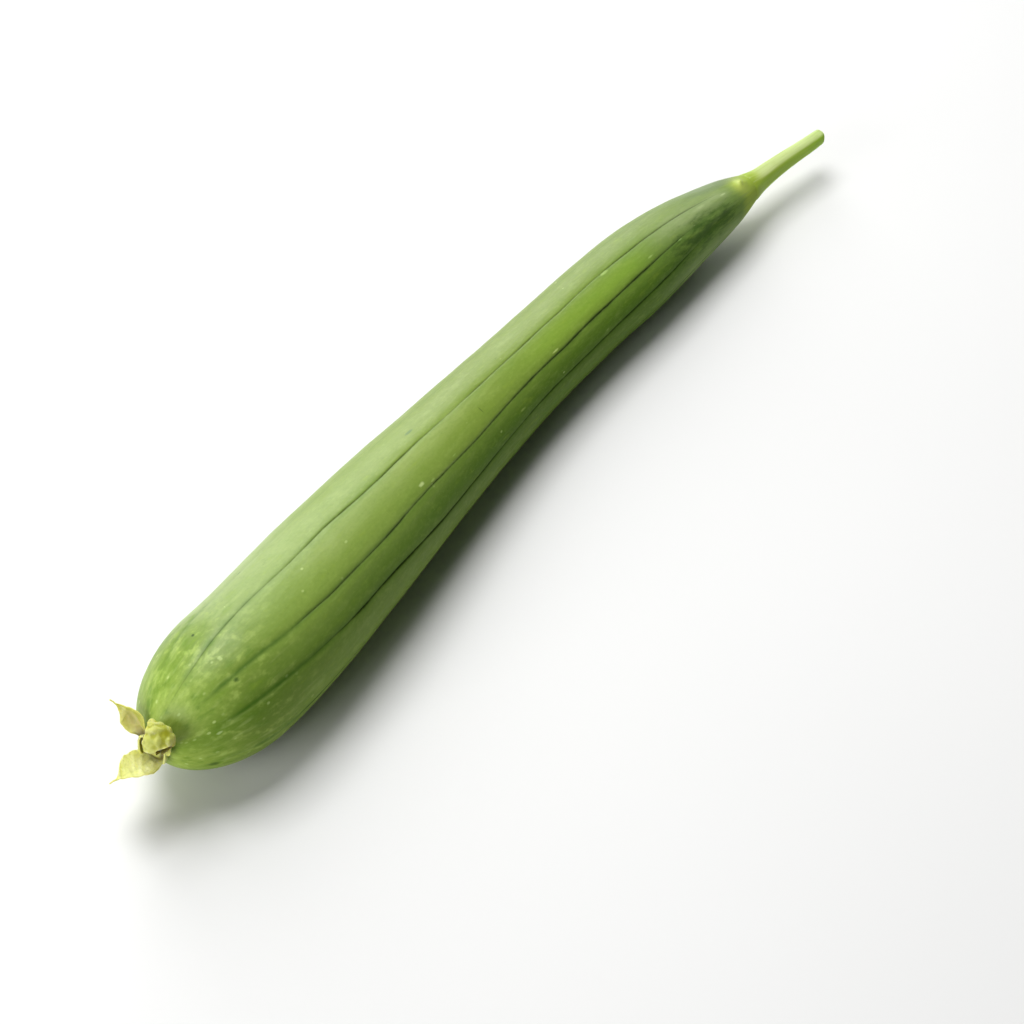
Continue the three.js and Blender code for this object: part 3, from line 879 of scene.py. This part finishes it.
# The calyx: what is left of the flower, a short cup in the dimple of the blossom end that
# opens into five sepals. It has dried to a papery cream and yellow-green, brown at the roots
# of its sepals. Its deep fold and the inside of its curled sepal are painted dark as shade.
# Profile: distance ahead of the dimple and radius, outside, rim, inside.
CUP_PROFILE = np.array(
    [
        [-0.04, 4.9],
        [0.2, 5.4],
        [0.5, 5.7],
        [0.9, 5.9],
        [1.3, 6.0],
        [1.7, 6.08],
        [2.0, 6.1],
        [2.15, 5.9],
        [2.1, 5.6],
        [1.8, 5.25],
        [1.5, 5.0],
        [1.25, 4.7],
        [1.2, 4.4],
        [1.3, 3.9],
        [1.45, 3.4],
        [1.55, 2.9],
        [1.65, 2.3],
        [1.7, 1.6],
        [1.72, 0.8],
    ]
)
CUP_RIM_FROM = 0.9
CUP_RIM_TO = 2.1
CUP_RIM_WAVE = 0.5
CUP_MOUTH_RADIUS = 5.1
CUP_COLUMNS = 160
CUP_DENTS = (0.03, 8, (1, 2), 12, 31)
MOUND_PUCKERS = (0.35, 9, (2, 5), 4, 33)
# Rows of the profile: where its mound begins, its thin pale edge, where its inside is dried
# brown, and the deep fold round the mound, painted dark as shade, with its width.
MOUND_ROWS = (11, 15)
EDGE_ROW = 7
INSIDE_ROWS = (8, 10)
FOLD_ROWS = (12.5, 2.4)
SEPAL_ROOT_AHEAD = 0.8
SEPAL_ROOT_RADIUS = 5.35
SEPAL_TIP = 0.22
SEPAL_THICKNESS = 0.8
SEPAL_RINGS = 90
SEPAL_COLUMNS = 64
# Waves of a blade as ripple() takes them, without a seed.
PUCKERS = (0.8, 12, (4, 10), 2)
CRUMPLES = (1.4, 7, (5, 12), 2)
EDGE_WAVES = (0.4, 6, (3, 8), 0)
# Nerves: place across the blade, strength and width. Then their height and how green.
NERVES = [(0.0, 1.0, 0.1), (-0.5, 0.5, 0.08), (0.5, 0.5, 0.08)]
NERVE_HEIGHT = 0.16
NERVE_GREEN = 0.35
# azimuth: side of the cup, as the furrow angles. drift: how far the tip swings round.
# length, width: of the blade in mm. bend: angle from straight forward, evenly spaced from
# root to tip. roll: turn of the blade about its midrib. hollow: height of the raised edges.
# pucker: height of its wrinkles. tan: how brown its inner face has dried. green: the green
# left in its folds. pale: how far it has bleached; on the lower sepal its root is also paled as
# painted light where the curled sepal shades it. fold: how green its upper edge is, which is
# folded over. dark: how dark the painted shade on its inner face is. tip: half width of a
# blunt tip that is tucked in.
SEPALS = {
    "upper": {
        "azimuth": 44, "drift": 4, "length": 16.6, "width": 9.4, "bend": (100, 88, 72, 68),
        "roll": -30, "hollow": 1.4, "pucker": 0.35, "tan": 0.85, "green": 0.15, "fold": 0.85,
    },
    "broken": {
        "azimuth": 92, "drift": 0, "length": 5.8, "width": 8, "bend": (-6, -45, -70),
        "roll": 0, "hollow": 0.8, "pucker": 0.2, "tan": 0.85, "green": 0.1, "dark": 0.3,
    },
    "lower": {
        "azimuth": 171, "drift": 3, "length": 22.2, "width": 11.8, "bend": (4, -24, -32, -16),
        "roll": -6, "hollow": 2.2, "pucker": 0.35, "tan": 0.0, "green": 0.05, "pale": 1.0,
    },
    "short": {
        "azimuth": 309, "drift": 6, "length": 5.4, "width": 5.6, "bend": (80, 105, 120),
        "roll": 0, "hollow": 0.6, "pucker": 0.15, "tan": 0.1, "green": 0.9,
    },
    "curled": {
        "azimuth": 337, "drift": 0, "length": 36.5, "width": 11.6,
        "bend": (100, 106, 54, -38, -96, -118, -160), "roll": -5, "hollow": 2.7,
        "pucker": 0.6, "tan": 0.0, "green": 1.0, "dark": 0.8, "tip": 3,
    },
}
# Tones of the dried tissue, each laid over the ones before.
SEPAL_TONES = [("tan", "b6a86a"), ("pale", "f0f1b0"), ("green", "a4a814"), ("nerve", "9fa946")]
# Point of the dimple, and the directions along the fruit, aside and up from it.
blossom = [row[0] for row in path_frame(SPINE, np.array([DIMPLE_DEPTH]))]


def dried_sepal():
    """Dried flower tissue: papery and matte, cream where it has lost its sap and yellow green
    where it has not, with raised nerves, brown stains inside and thin pale edges. Its darkest
    brown is dried tissue at the roots and painted shade in the deepest folds."""
    material, tree, shader = new_material("dried_sepal")
    place = add(tree, "ShaderNodeTexCoord").outputs["Object"]
    colour = gradient(
        tree,
        layer(tree, "reach"),
        [(0.0, "cdd585"), (0.4, "d3da88"), (0.75, "d6d978"), (1.0, "d8cf62")],
    )
    stains = cloud(tree, stretched(tree, place, (3.5, 3.5, 3.5)), detail=4, roughness=0.6)
    dark, pale = (0.5, 0.72, 0.55, "b3bf4c"), (0.5, 0.3, 0.6, "eaecc4")
    colour = two_tone(tree, stains, colour, dark, pale)
    for name, code in SEPAL_TONES:
        colour = blend(tree, layer(tree, name), colour, code)
    colour = blend(tree, combine(tree, layer(tree, "edge"), 0.5), colour, "e2dc84")
    fine = cloud(tree, stretched(tree, place, (0.8, 0.8, 0.8)), detail=2)
    colour = blend(tree, window(tree, fine, 0.5, 0.75, 0, 0.3), colour, "a6a53c")
    # Dark brown: dried at the sepals' roots, painted shade in the cup's fold and inside the curl.
    colour = blend(tree, layer(tree, "deep"), colour, "4e4010")
    relief = cloud(tree, stretched(tree, place, (1.1, 1.1, 1.1)), detail=4, roughness=0.6)
    inputs = {
        "Base Color": colour,
        "Roughness": 0.55,
        "IOR": PLANT_IOR,
        "Subsurface Weight": 0.6,
        "Subsurface Radius": (1.0, 0.9, 0.3),
        "Subsurface Scale": 0.0015,
        "Normal": relief_normal(tree, relief, 0.5, 0.0004),
    }
    give(tree, shader, inputs)
    return material


papery = dried_sepal()


def round_blossom(azimuth):
    """Direction away from the blossom end's axis at an azimuth, up being 0."""
    _, _, aside, up = blossom
    azimuth = np.asarray(azimuth)[..., None]
    return np.cos(azimuth) * up + np.sin(azimuth) * aside


def build_cup():
    """The profile turned round the axis: up the outside, over a wavy rim, down inside and
    over the low mound where the flower stood. The mound is puckered."""
    point, along, _, _ = blossom
    azimuth = np.linspace(0, 2 * np.pi, CUP_COLUMNS, endpoint=False)[None]
    ahead, radius = CUP_PROFILE[:, :1], CUP_PROFILE[:, 1:]
    lobed = np.cos(len(SEPALS) * (azimuth - np.radians(SEPALS["upper"]["azimuth"])))
    height = np.clip((ahead - CUP_RIM_FROM) / (CUP_RIM_TO - CUP_RIM_FROM), 0, 1)
    mouth = radius > CUP_MOUTH_RADIUS
    order = np.arange(len(CUP_PROFILE))[:, None]
    mound = smoother(order, *MOUND_ROWS)
    ahead = ahead + CUP_RIM_WAVE * lobed * height * mouth
    ahead = ahead + mound * ripple(radius, azimuth, *MOUND_PUCKERS)
    radius = radius * (1 + (1 - mound) * ripple(0, azimuth, *CUP_DENTS))
    points = point - ahead[..., None] * along + radius[..., None] * round_blossom(azimuth)
    closed_grid(
        "calyx_cup",
        points,
        papery,
        "dried_sepal",
        "calyx",
        reach=0.3,
        tan=0.3 * smoother(order, *INSIDE_ROWS) * (1 - mound),
        green=0.35 * mound,
        edge=bell(order, EDGE_ROW, 1),
        nerve=0,
        pale=0,
        # The deep fold round the mound: painted shade.
        deep=0.9 * bell(order, *FOLD_ROWS),
    )


def build_sepal(
    name, azimuth, drift, length, width, bend, roll, hollow, pucker, tan, green,
    pale=0.0, fold=0.0, dark=0.0, tip=SEPAL_TIP,
):
    """A blade carried along its midrib, whose angle from straight forward follows the bend
    values. Its section is a thin lens raised toward both edges, its half width is
    sin(pi (0.25 + 0.75 t)) to the power 0.9 + 2.1 t. It is puckered by sine waves, and
    where a second set of them passes through 0 it is crumpled to sharp folds."""
    t = np.linspace(0, 1, SEPAL_RINGS)
    bent = np.radians(np.interp(t, np.linspace(0, 1, len(bend)), bend))[:, None]
    swing = np.radians(azimuth + drift * t)
    turn = np.radians(roll) * np.minimum(1, 2 * t)[:, None]
    point, spine_along, _, _ = blossom
    forward = -spine_along
    outward = round_blossom(swing)
    along = np.cos(bent) * forward + np.sin(bent) * outward
    level = round_blossom(swing - np.pi / 2)
    facing = np.sin(bent) * forward - np.cos(bent) * outward
    across = np.cos(turn) * level + np.sin(turn) * facing
    facing = np.cos(turn) * facing - np.sin(turn) * level
    root = point + SEPAL_ROOT_AHEAD * forward
    root = root + SEPAL_ROOT_RADIUS * round_blossom(np.radians(azimuth))
    steps = np.vstack([np.zeros(3), along[:-1] * length / (SEPAL_RINGS - 1)])
    midrib = root + np.cumsum(steps, axis=0)
    taper = np.sin(np.pi * (0.25 + 0.75 * t)) ** (0.9 + 2.1 * t)
    half = np.maximum(taper * width / 2, tip)[:, None]
    around = 2 * np.pi * np.arange(SEPAL_COLUMNS) / SEPAL_COLUMNS
    s = np.cos(around)[None, :]
    down, seed = t[:, None] * length, int(azimuth)
    fading = 1 - 0.8 * t[:, None] ** 4
    waves = ripple(down, s * half * 0.8, *PUCKERS, seed) + 0.2
    waves = waves - np.abs(ripple(down, s * half * 0.7, *CRUMPLES, seed + 2))
    raised = hollow * s * s * half / (width / 2) + pucker * 2 * waves * fading
    raised = raised + np.abs(s) ** 3 * ripple(down, 0, *EDGE_WAVES, seed + 1) * fading
    nerve = sum(strength * bell(s, place, spread) for place, strength, spread in NERVES)
    nerve = nerve * (1 - t[:, None] ** 3) * smoother(half, 0.4, 2.0)
    lens = np.minimum(1, np.abs(np.sin(around)) * 4) * (0.35 + 0.65 * np.sqrt(1 - 0.9 * s * s))
    thick = SEPAL_THICKNESS / 2 * lens * np.sign(np.sin(around)) * (1 - 0.45 * t[:, None])
    outer = np.sin(around)[None, :] < 0
    thick = thick - NERVE_HEIGHT * nerve * outer
    points = (
        midrib[:, None]
        + (s * half)[..., None] * across[:, None]
        + (raised + thick)[..., None] * facing[:, None]
    )
    reach = t[:, None] + 0 * s
    inner = np.where(outer, 0.2, 1.0)
    folds = smoother(np.where(outer, waves, -waves), -0.05, 0.2)
    closed_grid(
        f"sepal_{name}",
        points,
        papery,
        "dried_sepal",
        None,
        reach=reach,
        tan=tan * inner * (1 - 0.8 * smoother(reach, 0.3, 0.9)) * (1 - 0.7 * np.abs(s) ** 2),
        green=np.maximum(
            green * (0.5 + 0.5 * folds) * (1 - reach**4),
            fold * smoother(s, 0.2, 0.6) * (1 - 0.3 * reach),
        ),
        # Paler toward the root; on the lower sepal partly painted light where it lies in shade.
        pale=pale * (1 - 0.8 * smoother(reach, 0.2, 0.8)),
        edge=np.abs(s) ** 6,
        nerve=np.clip(NERVE_GREEN * nerve, 0, 1),
        # Brown at the root of the inner face, and painted shade over the inner face by dark.
        deep=np.maximum((1 - smoother(reach, 0, 0.2)) * inner * (0.15 + 0.8 * tan), dark * ~outer),
    )


build_cup()
for sepal_name, sepal_form in SEPALS.items():
    build_sepal(sepal_name, **sepal_form)

# The table top and the light: a plain pale matt surface, a tall strip box behind the gourd
# that puts a sheen along its back, a soft box overhead, a weak one that lights the blossom
# end, and a dim pale room all round.
SURFACE_SIZE = 6.0
# Soft boxes: name, place, width and height in metres, and power in watts.
SOFT_BOXES = [
    ("back_strip_box", (0.7, 1.0, 0.7), 0.7, 1.3, 12.4),
    ("overhead_soft_box", (0.12, 0.5, 1.5), 0.9, 0.9, 23.5),
    ("blossom_side_soft_box", (-1.3, 0.1, 0.5), 0.8, 0.8, 11.5),
]
BOX_COLOUR = "ffffff"
ROOM_COLOUR = "f2f5f8"
ROOM_BRIGHTNESS = 0.04


def pale_table_top():
    """Matt laminate: even and nearly white, with a faint cloudiness too low to notice."""
    material, tree, shader = new_material("pale_table_top")
    place = add(tree, "ShaderNodeTexCoord").outputs["Object"]
    tone = cloud(tree, stretched(tree, place, (300, 300, 300)), detail=1)
    colour = gradient(tree, tone, [(0.0, "e2e2e1"), (1.0, "e8e8e7")])
    give(tree, shader, {"Base Color": colour, "Roughness": 0.7})
    return material


def build_table_top():
    """One square face at height 0."""
    reach = SURFACE_SIZE / 2
    corners = [(-reach, -reach, 0), (reach, -reach, 0), (reach, reach, 0), (-reach, reach, 0)]
    mesh = bpy.data.meshes.new("table_top")
    mesh.from_pydata(corners, [], [(0, 1, 2, 3)])
    mesh.materials.append(pale_table_top())
    top = bpy.data.objects.new("table_top", mesh)
    bpy.context.scene.collection.objects.link(top)
    top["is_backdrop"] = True


def soft_box(name, place, width, height, power):
    """Rectangular area light aimed at the gourd."""
    lamp = bpy.data.lights.new(name, "AREA")
    lamp.shape = "RECTANGLE"
    lamp.size = width
    lamp.size_y = height
    lamp.energy = power
    lamp.color = linear(BOX_COLOUR)[:3]
    box = bpy.data.objects.new(name, lamp)
    box.location = place
    box.rotation_euler = (-Vector(place)).to_track_quat("-Z", "Y").to_euler()
    bpy.context.scene.collection.objects.link(box)


build_table_top()
for soft_box_form in SOFT_BOXES:
    soft_box(*soft_box_form)
world = bpy.data.worlds.new("pale_room")
world.use_nodes = True
background = world.node_tree.nodes["Background"]
give(world.node_tree, background, {"Color": linear(ROOM_COLOUR), "Strength": ROOM_BRIGHTNESS})
bpy.context.scene.world = world
bpy.context.scene.view_settings.view_transform = "Standard"

# The camera: a long lens that looks down at the gourd at 48 degrees from its blossom end,
# with the stem farthest off.
CAMERA_PLACE = (-0.641196, -0.515942, 0.891774)
CAMERA_TARGET = (-0.012011, -0.017078, 0.0)
CAMERA_LENS = 120.81

camera_data = bpy.data.cameras.new("camera")
camera_data.lens = CAMERA_LENS
camera = bpy.data.objects.new("camera", camera_data)
camera.location = CAMERA_PLACE
sight = Vector(CAMERA_TARGET) - Vector(CAMERA_PLACE)
camera.rotation_euler = sight.to_track_quat("-Z", "Y").to_euler()
bpy.context.scene.collection.objects.link(camera)
bpy.context.scene.camera = camera

sizes = {"cad": cad_box, "visual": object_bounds()}
sizes = {name: [list(map(float, corner)) for corner in box] for name, box in sizes.items()}
